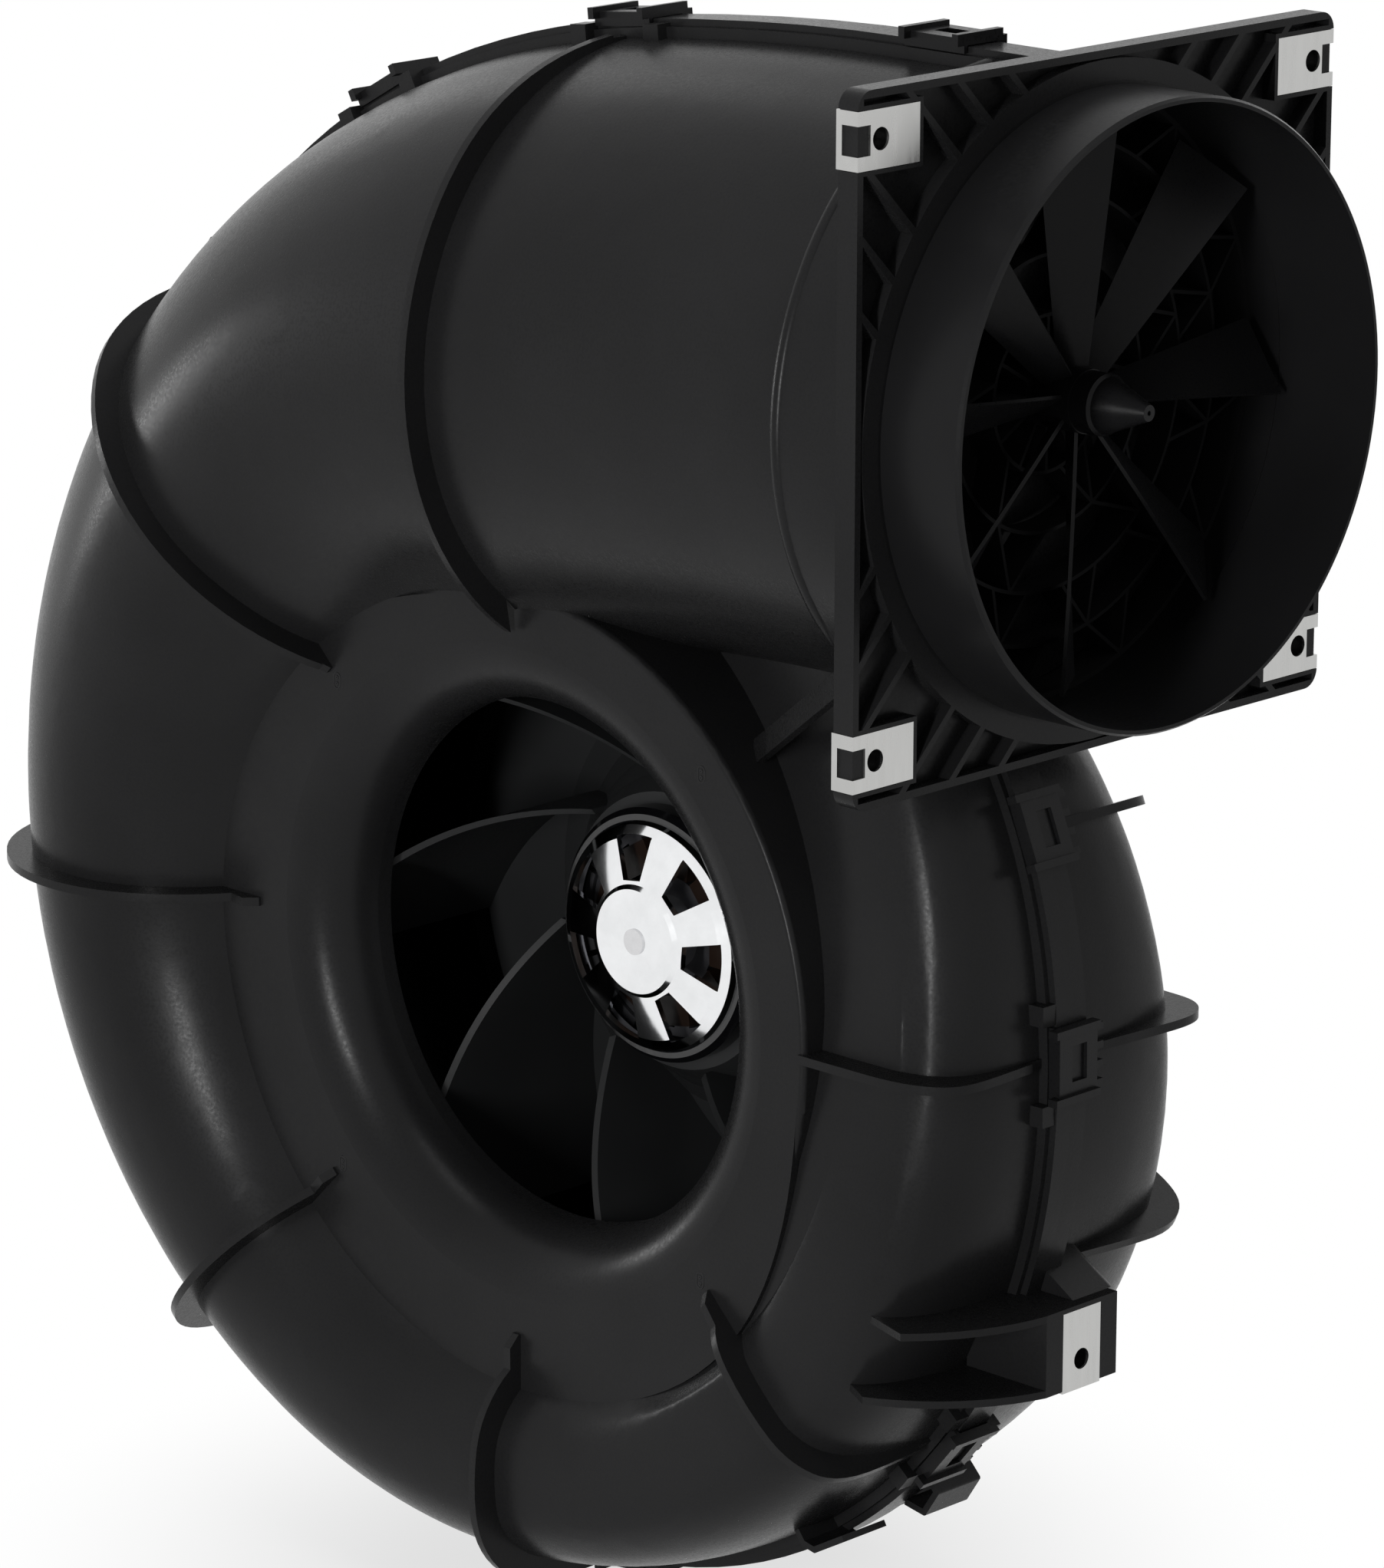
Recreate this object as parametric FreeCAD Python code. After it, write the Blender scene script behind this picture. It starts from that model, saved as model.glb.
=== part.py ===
import FreeCAD, Part
import math
import os

# Centrifugal fan in a two-part moulded scroll casing with a round outlet collar.
# Millimetres. +X is the outlet direction, the inlet faces -Y, +Z is up.
# The origin is the centre of the outlet flange's front face.

# Outlet
outlet_diameter = 200.0
collar_wall = 2.0
collar_length = 31.0
spigot_play = 1.0
socket_depth = 35.0
socket_wall = 3.5
flange_size = 220.0
flange_thickness = 8.0
flange_web = 3.0
flange_rim = 2.5
flange_corner_radius = 6.0
flange_rib_half = 1.1
flange_rib_shifts = (-46.0, -30.0, -14.0, 14.0, 30.0, 46.0)
pocket_margin = 7.0
gusset_angle = 35.0
gusset_reach = 32.0
gusset_thickness = 2.5
strut_angle = -44.5
strut_depth_y = -43.0
strut_top = -66.0
strut_height = 8.3
bolt_spacing_y = 200.0
bolt_spacing_z = 190.0

# Scroll casing
wall = 3.0
axis_x = -198.0
axis_z = -214.0
scroll_start_radius = 186.0
scroll_end_radius = 306.0
scroll_growth = 1.3
scroll_start_angle = -75.0
cavity_start_angle = -55.0
drum_radius = 131.0
drum_edge = 2.0
front_plane = 59.5
rear_plane = 62.0
valley_radius = 143.0
ring_radius = 145.0
ring_angles = (0.0, 262.0)
ring_run_out = 0.22
ring_steps = 18
ledge_drop = 2.2
rear_bulge = 0.28
duct_straight_x = -75.0
duct_lap = 0.4
section_spans = 10
section_root = 13.0
split_lap = 2.0
channel_stations = (-55.0, -35.0, -15.0, 5.0, 25.0, 45.0, 70.0, 95.0, 120.0, 150.0, 180.0, 210.0, 240.0, 270.0)

# Seam and ribs
seam_stations = (-25.0, -15.0, 0.0, 20.0, 45.0, 70.0, 95.0, 120.0, 150.0, 180.0, 210.0, 240.0, 270.0)
seam_height = 6.0
seam_half_width = 7.0
rib_height = 9.0
rib_seam_height = 2.5
rib_foot_height = 5.0
rib_full_at = 50.0
rib_spans = 10
rib_thickness = 3.0
rib_inner_radius = 125.0
front_rib_angles = (0.0, 45.0, 90.0, 135.0, 180.0, 225.0, 270.0)
rear_rib_angles = (-22.5, 0.0, 22.5, 67.5, 112.5, 157.5, 202.5, 247.5, 270.0)
clip_angles = (-22.5, 0.0, 45.0, 90.0, 135.0, 180.0, 225.0, 247.5, 270.0)
top_clip_x = -62.0
clip_length = 25.0
clip_half_width = 9.0
clip_reach = 15.0
clip_fingers = 4
clip_plate = 2.2
clip_cheek = 2.5
clip_cheek_height = 3.8
clip_play = 0.45
shoulder_reach = 20.0

# Inlet bell
bell_mouth_radius = 112.0
throat_radius = 90.0
bell_depth = 22.0
nozzle_length = 6.0

# Impeller
impeller_radius = 122.0
eye_radius = 94.5
shroud_front = 36.0
shroud_back = 26.5
shroud_wall = 2.0
hub_plane = 44.0
hub_wall = 2.5
hub_nose = 14.0
blade_count = 7
blade_thickness = 2.0
blade_inner_radius = 50.0
blade_sweep = 55.0
blade_phase = 19.0

# Motor
rotor_radius = 44.0
rotor_wall = 4.0
rotor_front = 5.0
rotor_back = 44.0
cap_front = -4.0
cap_disc_radius = 18.0
window_width = 27.0
window_count = 7
shaft_radius = 4.5
running_fit = 0.05
air_gap = 0.6
magnet_thickness = 3.0
stator_front = 13.0
stator_back = 37.0
tooth_count = 9
bearing_outer_radius = 9.5
bearing_width = 6.0
bearing_front = 8.0
bearing_back = 52.0
motor_hole_radius = 46.0
motor_spigot_front = 47.5
motor_flange_radius = 80.0
motor_flange_thickness = 5.0
motor_screw_circle = 73.0
motor_screw_radius = 2.5
motor_boss_radius = 5.5
motor_boss_front = 52.0
pot_radius = 60.0
pot_depth = 34.0
pot_wall = 3.0
fin_count = 24
fin_height = 6.0
board_plane = 78.0
board_radius = 47.5
board_thickness = 1.6
cover_thickness = 4.0
cover_screw_circle = 52.0
cover_screw_radius = 1.5
gland_offset = 30.0
gland_thread_radius = 6.0
gland_bore_radius = 4.0

# Vane anemometer and flow grid
wheel_radius = 92.0
wheel_blades = 8
wheel_hub_radius = 10.2
wheel_hub_length = 14.0
wheel_front = -3.8
wheel_blade_thickness = 1.2
wheel_sections = ((6.0, 9.0, 60.0), (45.0, 17.0, 45.0), (wheel_radius, 27.0, 34.0))
nose_ring_radius = 9.9
nose_ring_front = 3.4
nose_tip = 20.6
nose_tip_radius = 2.6
axle_radius = 1.5
axle_front = 1.0
axle_root = 3.0
grid_depth = 12.0
grid_back = -35.0
grid_web = 1.2
grid_rings = (25.0, 44.0, 63.0, 80.0)
grid_spokes = 12

# Mounting bracket and hooks under the scroll
bracket_z = -312.6
bracket_top = -294.0
bracket_bottom = -321.8
bracket_half_width = 17.0
bracket_depth = 34.0
fin_tip_y = 62.0
fin_thickness = 2.5
fin_setbacks = (22.0, 38.0)
fin_root = 70.0
lug_top = -279.0
lug_width = 21.0
lug_round = 3.0
lug_front = 28.0
lug_back = 60.0
lug_boss_radius = 7.0
lug_boss_y = 17.0
lug_boss_z = -309.5
hook_thickness = 2.2
hook_width = 20.5
front_hook_path = ((-112.0, -378.0), (-98.0, -396.0), (-93.0, -397.0), (-80.0, -389.5))
front_hook_y = -25.5
rear_hook_path = ((-84.0, -360.0), (-66.5, -378.0), (-72.0, -386.5), (-80.5, -385.0))
rear_hook_y = 5.0

# Spring nuts
nut_sheet = 0.8
nut_width = 18.0
nut_length = 27.0
nut_hole_radius = 3.5
nut_window = 5.5
nut_window_half = 4.6
nut_collar_radius = 5.5
nut_collar_length = 4.0
nut_thread_radius = 2.6

duct_radius = outlet_diameter / 2
collar_inner_radius = duct_radius - collar_wall
spigot_radius = duct_radius - spigot_play
socket_radius = duct_radius + socket_wall
half_flange = flange_size / 2
drum_wall_radius = drum_radius - wall
origin = FreeCAD.Vector(0, 0, 0)
x_dir = FreeCAD.Vector(1, 0, 0)
y_dir = FreeCAD.Vector(0, 1, 0)
z_dir = FreeCAD.Vector(0, 0, 1)
axis_point = FreeCAD.Vector(axis_x, 0, axis_z)


def vec(x, y, z):
    return FreeCAD.Vector(x, y, z)


def box(x0, x1, y0, y1, z0, z1):
    corner = vec(min(x0, x1), min(y0, y1), min(z0, z1))
    return Part.makeBox(abs(x1 - x0), abs(y1 - y0), abs(z1 - z0), corner)


def tube_x(radius, x0, x1, y=0.0, z=0.0):
    return Part.makeCylinder(radius, x1 - x0, vec(x0, y, z), x_dir)


def tube_y(radius, y0, y1, x=axis_x, z=axis_z):
    start = vec(x, min(y0, y1), z)
    return Part.makeCylinder(radius, abs(y1 - y0), start, y_dir)


def fuse(shapes):
    result = shapes[0]
    if len(shapes) > 1:
        result = result.fuse(shapes[1:])
    return result


def turned(points, about_x=False):
    """Solid of revolution from (radius, position) points along an axis."""
    if about_x:
        path = [vec(along, 0, radius) for radius, along in points]
        face = Part.Face(Part.makePolygon(path + [path[0]]))
        return face.revolve(origin, x_dir, 360)
    path = [vec(axis_x + radius, along, axis_z) for radius, along in points]
    face = Part.Face(Part.makePolygon(path + [path[0]]))
    return face.revolve(axis_point, y_dir, 360)


def quarter_arc(radius, along, size, end_along):
    """Three points of a quarter circle that leaves the axis direction and ends facing it."""
    turn = math.sqrt(0.5)
    middle = (radius + size * turn, along + end_along * turn)
    return (radius + size, along), middle, (radius, along + end_along)


def turned_path(stretches):
    """Solid of revolution about the impeller's axis; a stretch of three points is an arc."""
    edges = []
    for stretch in stretches:
        points = [vec(axis_x + radius, along, axis_z) for radius, along in stretch]
        edges.append(Part.Arc(*points).toShape() if len(points) == 3 else Part.makeLine(*points))
    return Part.Face(Part.Wire(edges)).revolve(axis_point, y_dir, 360)


def on_scroll(angle, radius, y):
    """Place at a clock angle about the impeller axis, clockwise seen from the inlet."""
    turn = math.radians(angle)
    return vec(axis_x + radius * math.cos(turn), y, axis_z - radius * math.sin(turn))


def at_angle(shape, angle):
    """Copy of a shape drawn at clock angle 0, turned about the impeller axis."""
    copy = shape.copy()
    copy.rotate(axis_point, y_dir, angle)
    return copy


def scroll_radius(angle):
    turned_part = max(angle, 0.0) / 270.0
    grown = scroll_end_radius - scroll_start_radius
    return scroll_start_radius + grown * turned_part ** scroll_growth


def scroll_depth(angle, side):
    """Half depth of the air channel's outside, front (side -1) or rear (side 1)."""
    depth = duct_radius * ((angle + 80.0) / 350.0) ** 0.45
    if side > 0:
        depth *= 1.0 + rear_bulge * (1.0 - max(angle, 0.0) / 270.0)
    return depth


def section_power(angle):
    """Squareness of a channel section: 4 near the cut-off, 2 (round) at the outlet."""
    return 2.0 + 2.0 * (1.0 - max(angle, 0.0) / 270.0) ** 3


def section_law(angle, side):
    """Ellipse centre, half width, half depth, squareness and ledge height at a clock angle."""
    outer = scroll_radius(angle)
    depth = scroll_depth(angle, side)
    power = section_power(angle)
    plane = (front_plane if side < 0 else rear_plane) - ledge_drop
    fade = max(angle - 180.0, 0.0) / 90.0
    valley = valley_radius - (valley_radius - drum_radius + 6.0) * fade
    ledge = min(plane, depth)
    reach = (1.0 - (ledge / depth) ** power) ** (1.0 / power)
    centre = (valley + reach * outer) / (1.0 + reach)
    return centre, outer - centre, depth, power, ledge


def section_end(depth, power, ledge):
    """Polar angle at which a section comes down to its ledge beside the drum."""
    reach = (1.0 - min(ledge / depth, 1.0) ** power) ** (1.0 / power)
    if reach <= 0:
        return math.pi / 2
    return math.pi / 2 + math.acos(min(1.0, (1.0 - reach ** power) ** 0.5))


def section_point(angle, side, law, theta, grow):
    """Point on a section at a polar angle, pushed outwards by an amount."""
    centre, half_width, depth, power, ledge = law
    cosine = math.cos(theta)
    spread = math.copysign(abs(cosine) ** (2.0 / power), cosine)
    rise = abs(math.sin(theta)) ** (2.0 / power)
    return on_scroll(angle, centre + (half_width + grow) * spread, side * (depth + grow) * rise)


def channel_section(angle, side, inset):
    """Closed half section of the channel in the radial plane at a clock angle."""
    law = section_law(angle, side)
    depth, power, ledge = law[2:]
    start = section_end(depth - inset, power, ledge - inset)
    curve = []
    for i in range(section_spans + 1):
        theta = start * (1.0 - i / section_spans)
        curve.append(section_point(angle, side, law, theta, -inset))
    outer = scroll_radius(angle) - inset
    split = -side * (split_lap if inset > 0 else 0.0)
    inner = drum_radius - section_root
    foot = on_scroll(angle, inner, split)
    corner = on_scroll(angle, inner, curve[0].y)
    end = on_scroll(angle, outer, 0.0)
    tail = on_scroll(angle, outer, split)
    shares = [i / section_spans for i in range(section_spans + 1)]
    spline = Part.BSplineCurve()
    spline.interpolate(Points=curve, Parameters=shares)
    edges = [Part.makeLine(foot, corner), Part.makeLine(corner, curve[0]), spline.toShape()]
    if inset > 0:
        edges.append(Part.makeLine(end, tail))
    edges.append(Part.makeLine(tail, foot))
    return Part.Wire(edges)


def channel(side, inset, first):
    """Loft of the channel's half sections from the cut-off round to the duct."""
    angles = [first] + [angle for angle in channel_stations if angle > first]
    wires = [channel_section(angle, side, inset) for angle in angles]
    return Part.makeLoft(wires, True, False)


def half_disc(x, z, radius, side, split):
    top = vec(x, 0, z + radius)
    bottom = vec(x, 0, z - radius)
    arc = Part.Arc(bottom, vec(x, side * radius, z), top).toShape()
    edges = [arc]
    if split:
        top_over = vec(x, -side * split, z + radius)
        bottom_over = vec(x, -side * split, z - radius)
        edges.append(Part.makeLine(top, top_over))
        edges.append(Part.makeLine(top_over, bottom_over))
        edges.append(Part.makeLine(bottom_over, bottom))
    else:
        edges.append(Part.makeLine(top, bottom))
    return Part.Wire(edges)


def duct(side, inset):
    """Round duct that leads from the scroll's end to the straight stretch."""
    drop = scroll_end_radius - duct_radius + axis_z
    stretch = duct_straight_x - axis_x
    wires = []
    for share in (0.0, 0.3, 0.6, 1.0):
        height = drop * (1.0 - share) ** 2
        x = axis_x + stretch * share
        radius = duct_radius - inset + duct_lap * (1.0 - share)
        wires.append(half_disc(x, height, radius, side, split_lap if inset else 0.0))
    bend = Part.makeLoft(wires, True, False)
    end_x = -socket_depth + 1.0
    half = half_disc(duct_straight_x, 0.0, duct_radius - inset, side, split_lap if inset else 0.0)
    straight = Part.Face(half).extrude(vec(end_x - duct_straight_x, 0, 0))
    return bend, straight


def half_only(shape, side):
    """Part of a shape on one side of the seam plane."""
    reach = 400.0
    return shape.common(box(-700, 100, 0, side * reach, -600, 300))


def seam_outline(offset):
    """Closed outline of the casing in the seam plane, widened by an offset."""
    edge = duct_radius + offset
    radius = scroll_start_radius + offset
    notch = -math.degrees(math.asin((-axis_z - edge) / radius))
    curve = [on_scroll(angle, scroll_radius(angle) + offset, 0.0) for angle in (notch,) + seam_stations]
    drop = scroll_end_radius - duct_radius + axis_z
    for share in (0.3, 0.6, 1.0):
        x = axis_x + (duct_straight_x - axis_x) * share
        curve.append(vec(x, 0, drop * (1.0 - share) ** 2 + edge))
    spline = Part.BSplineCurve()
    spline.interpolate(curve)
    end_x = -flange_thickness + 1.0
    top = vec(end_x, 0, edge)
    low = vec(end_x, 0, -edge)
    lines = [Part.makeLine(curve[-1], top), Part.makeLine(top, low), Part.makeLine(low, curve[0])]
    return Part.Wire([spline.toShape()] + lines)


def seam_rim(side):
    """Raised rim along the split, with a rounded bead on the front half."""
    face = Part.Face(seam_outline(seam_height))
    rim = face.extrude(vec(0, side * seam_half_width, 0))
    if side > 0:
        return rim
    foot = Part.Face(seam_outline(seam_height - 2.5)).extrude(vec(0, -seam_half_width - 2.0, 0))
    return rim.fuse(foot)


def rib(angle, side):
    """Thin web in one radial plane that stands proud of the channel, least beside the seam."""
    law = section_law(angle, side)
    centre, half_width, depth, power, ledge = law
    finish = section_end(depth, power, ledge)
    curve = []
    for i in range(rib_spans + 1):
        theta = finish * i / rib_spans
        share = math.degrees(theta) / rib_full_at
        proud = rib_seam_height + (rib_height - rib_seam_height) * eased(share)
        curve.append(section_point(angle, side, law, theta, proud))
    plane = front_plane if side < 0 else rear_plane
    if ledge < plane - ledge_drop:
        inner = [on_scroll(angle, drum_radius - 2.0, side * (ledge + rib_height))]
    else:
        inner = [on_scroll(angle, rib_inner_radius + 4.0, side * (plane + rib_foot_height))]
        inner.append(on_scroll(angle, rib_inner_radius, side * (plane + 1.0)))
    inner.append(on_scroll(angle, inner[-1].distanceToPoint(vec(axis_x, inner[-1].y, axis_z)), side * 20.0))
    foot = on_scroll(angle, scroll_radius(angle) - 4.0, side * 20.0)
    heel = on_scroll(angle, scroll_radius(angle) - 4.0, 0.0)
    spline = Part.BSplineCurve()
    spline.interpolate(curve)
    path = [curve[-1]] + inner + [foot, heel, curve[0]]
    edges = [spline.toShape()] + [Part.makeLine(a, b) for a, b in zip(path, path[1:])]
    web = Part.Face(Part.Wire(edges))
    normal = on_scroll(angle + 90.0, 1.0, 0.0) - axis_point
    web.translate(normal * (-rib_thickness / 2))
    web = web.extrude(normal * rib_thickness)
    if angle in clip_angles:
        low = scroll_radius(angle) + 1.0
        gap = box(axis_x + low, axis_x + low + 40, -clip_reach, clip_reach, axis_z - 20, axis_z + 20)
        web = web.cut(at_angle(gap, angle))
    return web


def drum(side):
    """Round drum of the casing around the impeller, with a rounded edge."""
    plane = front_plane if side < 0 else rear_plane
    level = side * (plane - drum_edge)
    edge = quarter_arc(drum_radius - drum_edge, level, drum_edge, side * drum_edge)
    top = (0.0, side * plane)
    start = (drum_radius, 0.0)
    return turned_path([((0.0, 0.0), start), (start, edge[0]), edge, (edge[2], top), (top, (0.0, 0.0))])


def eased(share):
    """Smooth step from 0 to 1."""
    share = min(max(share, 0.0), 1.0)
    return share * share * (3.0 - 2.0 * share)


def ring_plate(side):
    """Flat face round the drum that runs out into the valley beside the channel."""
    plane = side * (front_plane if side < 0 else rear_plane)
    first, last = ring_angles
    edge = []
    for i in range(ring_steps + 1):
        share = i / ring_steps
        angle = first + (last - first) * share
        reach = eased(share / ring_run_out) * eased((1.0 - share) / ring_run_out)
        edge.append(on_scroll(angle, drum_wall_radius + (ring_radius - drum_wall_radius) * reach, plane))
    spline = Part.BSplineCurve()
    spline.interpolate(edge)
    centre = vec(axis_x, plane, axis_z)
    lines = [Part.makeLine(edge[-1], centre), Part.makeLine(centre, edge[0])]
    return Part.Face(Part.Wire([spline.toShape()] + lines)).extrude(vec(0, -side * wall, 0))


def casing_shell(side, extras):
    """Scroll, drum and duct wall of one casing half, with what stands on its outside."""
    plane = front_plane if side < 0 else rear_plane
    bend, straight = duct(side, 0.0)
    bore_bend, bore_straight = duct(side, wall)
    angles = front_rib_angles if side < 0 else rear_rib_angles
    outside = [channel(side, 0.0, scroll_start_angle), drum(side), ring_plate(side), seam_rim(side)]
    outside += [rib(angle, side) for angle in angles] + extras
    scroll = outside[0]
    for piece in outside[1:]:
        scroll = scroll.fuse(piece)
    drum_space = tube_y(drum_wall_radius, -side * 2, side * (plane - wall))
    socket_space = tube_x(duct_radius, -socket_depth, 10.0)
    for space in (channel(side, wall, cavity_start_angle), drum_space, bore_bend, bore_straight, socket_space):
        scroll = scroll.cut(space)
    duct_wall = fuse([bend, straight]).cut(fuse([bore_bend, bore_straight])).cut(drum_space)
    return scroll.fuse(duct_wall)


def flange_half(side):
    """Half of the square outlet flange with its socket, pockets and diagonal ribs."""
    plate = box(-flange_thickness, 0, -half_flange, half_flange, -half_flange, half_flange)
    edges = [edge for edge in plate.Edges if abs(edge.Vertexes[0].X - edge.Vertexes[1].X) > 1]
    plate = plate.makeFillet(flange_corner_radius, edges)
    inside = half_flange - flange_rim
    pocket_ring = duct_radius + pocket_margin
    depth = flange_thickness - flange_web
    pocket = box(-depth, 1, -inside, inside, -inside, inside).cut(tube_x(pocket_ring, -20, 10))
    solid = []
    for corner_y, corner_z in ((-1, 1), (-1, -1), (1, 1), (1, -1)):
        pad_y = sorted((corner_y * (half_flange - nut_length - 1.5), corner_y * half_flange))
        middle_z = corner_z * bolt_spacing_z / 2
        pad_half = nut_width / 2 + 1.5
        solid.append(box(-20, 2, pad_y[0], pad_y[1], middle_z - pad_half, middle_z + pad_half))
        for shift in flange_rib_shifts:
            rib_bar = box(-20, 2, -flange_rib_half, flange_rib_half, 90, 160)
            rib_bar.translate(vec(0, shift, 0))
            rib_bar.rotate(origin, x_dir, 45.0 if corner_y * corner_z < 0 else -45.0)
            if corner_z < 0:
                rib_bar.rotate(origin, x_dir, 180.0)
            solid.append(rib_bar)
    plate = plate.cut(pocket.cut(fuse(solid)))
    socket = tube_x(socket_radius, -socket_depth - 3.0, -0.5)
    shape = fuse([plate, socket])
    for corner_y in (-1, 1):
        for corner_z in (-1, 1):
            middle_y = corner_y * bolt_spacing_y / 2
            middle_z = corner_z * bolt_spacing_z / 2
            half = nut_width / 2 + 0.2
            recess_in = corner_y * (half_flange - nut_length)
            recess_out = corner_y * (half_flange + 1)
            shape = shape.cut(box(-nut_sheet, 1, recess_in, recess_out, middle_z - half, middle_z + half))
            side_cut = corner_y * (half_flange - nut_sheet)
            shape = shape.cut(box(-20, 1, side_cut, recess_out, middle_z - half, middle_z + half))
            shape = shape.cut(tube_x(nut_hole_radius + 1.0, -20, 5, middle_y, middle_z))
    return half_only(shape, side)


def gussets(side):
    """Small webs between flange and duct."""
    pieces = []
    for angle in (-gusset_angle, gusset_angle):
        corners = [vec(-flange_thickness, duct_radius - 2, 0), vec(-flange_thickness, half_flange - 3, 0)]
        corners += [vec(-gusset_reach, duct_radius + 1, 0), vec(-gusset_reach, duct_radius - 2, 0)]
        web = Part.Face(Part.makePolygon(corners + [corners[0]])).extrude(vec(0, 0, gusset_thickness))
        web.translate(vec(0, 0, -gusset_thickness / 2))
        web.rotate(origin, x_dir, angle if side > 0 else 180.0 + angle)
        pieces.append(web)
    return pieces


def strut():
    """Thin diagonal web from the flange's back down to the front half's drum."""
    near = vec(0.5 - flange_thickness, 1.5 - half_flange, 0)
    far = on_scroll(strut_angle, drum_radius - 1.5, strut_depth_y)
    corners = [vec(near.x, near.y, strut_top), vec(near.x, near.y, strut_top - strut_height)]
    corners += [vec(far.x, far.y, far.z - strut_height / 2), vec(far.x, far.y, far.z + strut_height / 2)]
    face = Part.Face(Part.makePolygon(corners + [corners[0]]))
    return face.extrude(face.normalAt(0, 0) * rib_thickness)


def rear_lug():
    """Stub behind the bracket on the rear half, with a round boss under it."""
    outline = [vec(-4, 0, bracket_top), vec(-lug_front, 0, lug_top)]
    outline += [vec(-lug_back, 0, lug_top), vec(-lug_back, 0, bracket_top)]
    block = Part.Face(Part.makePolygon(outline + [outline[0]])).extrude(vec(0, lug_width, 0))
    outer = [edge for edge in block.Edges if edge.BoundBox.YMin > lug_width - 0.1]
    upper = [edge for edge in outer if edge.BoundBox.ZMax > bracket_top + 1]
    block = block.makeFillet(lug_round, [edge for edge in upper if edge.BoundBox.XMax > 1 - lug_back])
    return block.fuse(tube_x(lug_boss_radius, -40.0, -6.0, lug_boss_y, lug_boss_z))


def bracket_half(side):
    """Half of the lower mounting block, with two fins on the front half."""
    block = box(-bracket_depth, 0, 0, side * bracket_half_width, bracket_bottom, bracket_top)
    pieces = [block]
    heights = (bracket_top - fin_thickness, bracket_bottom) if side < 0 else ()
    for height, setback in zip(heights, fin_setbacks):
        tip = vec(-setback, -fin_tip_y, height)
        front = vec(0, -bracket_half_width, height)
        bow = vec(-setback * 0.28, -(fin_tip_y + bracket_half_width) / 2, height)
        arc = Part.Arc(front, bow, tip).toShape()
        back = vec(10.0 - fin_root, 12.0 - fin_tip_y, height)
        root = vec(-fin_root, 0, height)
        start = vec(0, 0, height)
        edges = [Part.makeLine(start, front), arc, Part.makeLine(tip, back)]
        edges += [Part.makeLine(back, root), Part.makeLine(root, start)]
        pieces.append(Part.Face(Part.Wire(edges)).extrude(vec(0, 0, fin_thickness)))
    shape = fuse(pieces)
    half = nut_width / 2 + 0.2
    top = bracket_z + nut_length - bolt_offset()
    shape = shape.cut(box(-nut_sheet, 1, -half, half, bracket_bottom - 1, top))
    inside_back = -bracket_depth - 60
    ceiling = bracket_top - wall
    shape = shape.cut(box(inside_back, -flange_thickness, -half, half, bracket_bottom - 1, ceiling))
    return shape.cut(tube_x(nut_hole_radius + 1.0, inside_back, 5, 0, bracket_z))


def bolt_offset():
    """Distance from a spring nut's folded edge to its hole."""
    return half_flange - bolt_spacing_y / 2


def hook(side):
    """Cable hook under the scroll: a J with its lip turned to its opposite number."""
    path, start_y = (front_hook_path, front_hook_y) if side < 0 else (rear_hook_path, rear_hook_y)
    pieces = []
    half = hook_thickness / 2
    for (x0, z0), (x1, z1) in zip(path, path[1:]):
        length = math.hypot(x1 - x0, z1 - z0)
        nx, nz = -(z1 - z0) / length * half, (x1 - x0) / length * half
        corners = [(x0 + nx, z0 + nz), (x1 + nx, z1 + nz), (x1 - nx, z1 - nz), (x0 - nx, z0 - nz)]
        points = [vec(x, start_y, z) for x, z in corners]
        pieces.append(Part.Face(Part.makePolygon(points + [points[0]])).extrude(vec(0, hook_width, 0)))
    for x, z in path[1:-1]:
        pieces.append(tube_y(half, start_y, start_y + hook_width, x, z))
    return fuse(pieces)


def inlet_bell():
    """Rounded inlet mouth that narrows to the throat, one revolved wall."""
    level = bell_depth - front_plane
    bend = bell_mouth_radius - throat_radius
    flow_side = quarter_arc(bell_mouth_radius, level, -bend, -bell_depth)[::-1]
    back_side = quarter_arc(bell_mouth_radius, level, wall - bend, wall - bell_depth)
    lip = level + nozzle_length
    top = (bell_mouth_radius + 4.0, -front_plane)
    under = (top[0], wall - front_plane)
    tip = (throat_radius, lip)
    heel = (throat_radius + wall, lip)
    return turned_path([
        (top, flow_side[0]), flow_side, (flow_side[2], tip), (tip, heel), (heel, back_side[0]),
        back_side, (back_side[2], under), (under, top)])


def make_casing_front():
    extras = [bracket_half(-1), hook(-1), strut()] + gussets(-1) + clip_shoulders()
    shell = casing_shell(-1, extras)
    shell = shell.cut(tube_y(bell_mouth_radius, -front_plane - 1, -front_plane + wall + 1))
    return shell.fuse([flange_half(-1), inlet_bell()]).cut(collar_space())


def make_casing_rear():
    extras = [bracket_half(1), hook(1), rear_lug()] + gussets(1)
    shell = casing_shell(1, extras)
    bosses = []
    holes = [tube_y(motor_hole_radius, rear_plane - wall - 1, rear_plane + 1)]
    for angle in screw_angles(45.0):
        place = on_scroll(angle, motor_screw_circle, 0)
        bosses.append(tube_y(motor_boss_radius, motor_boss_front, rear_plane - 1, place.x, place.z))
        holes.append(tube_y(motor_screw_radius, motor_boss_front - 1, rear_plane + 1, place.x, place.z))
    shell = shell.fuse([flange_half(1)] + bosses)
    for hole in holes:
        shell = shell.cut(hole)
    return shell.cut(collar_space())


def screw_angles(first):
    return [first + 90.0 * i for i in range(4)]


def collar_space():
    """Room for the collar in the flange's socket."""
    return tube_x(duct_radius, -socket_depth, 5.0)


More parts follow.
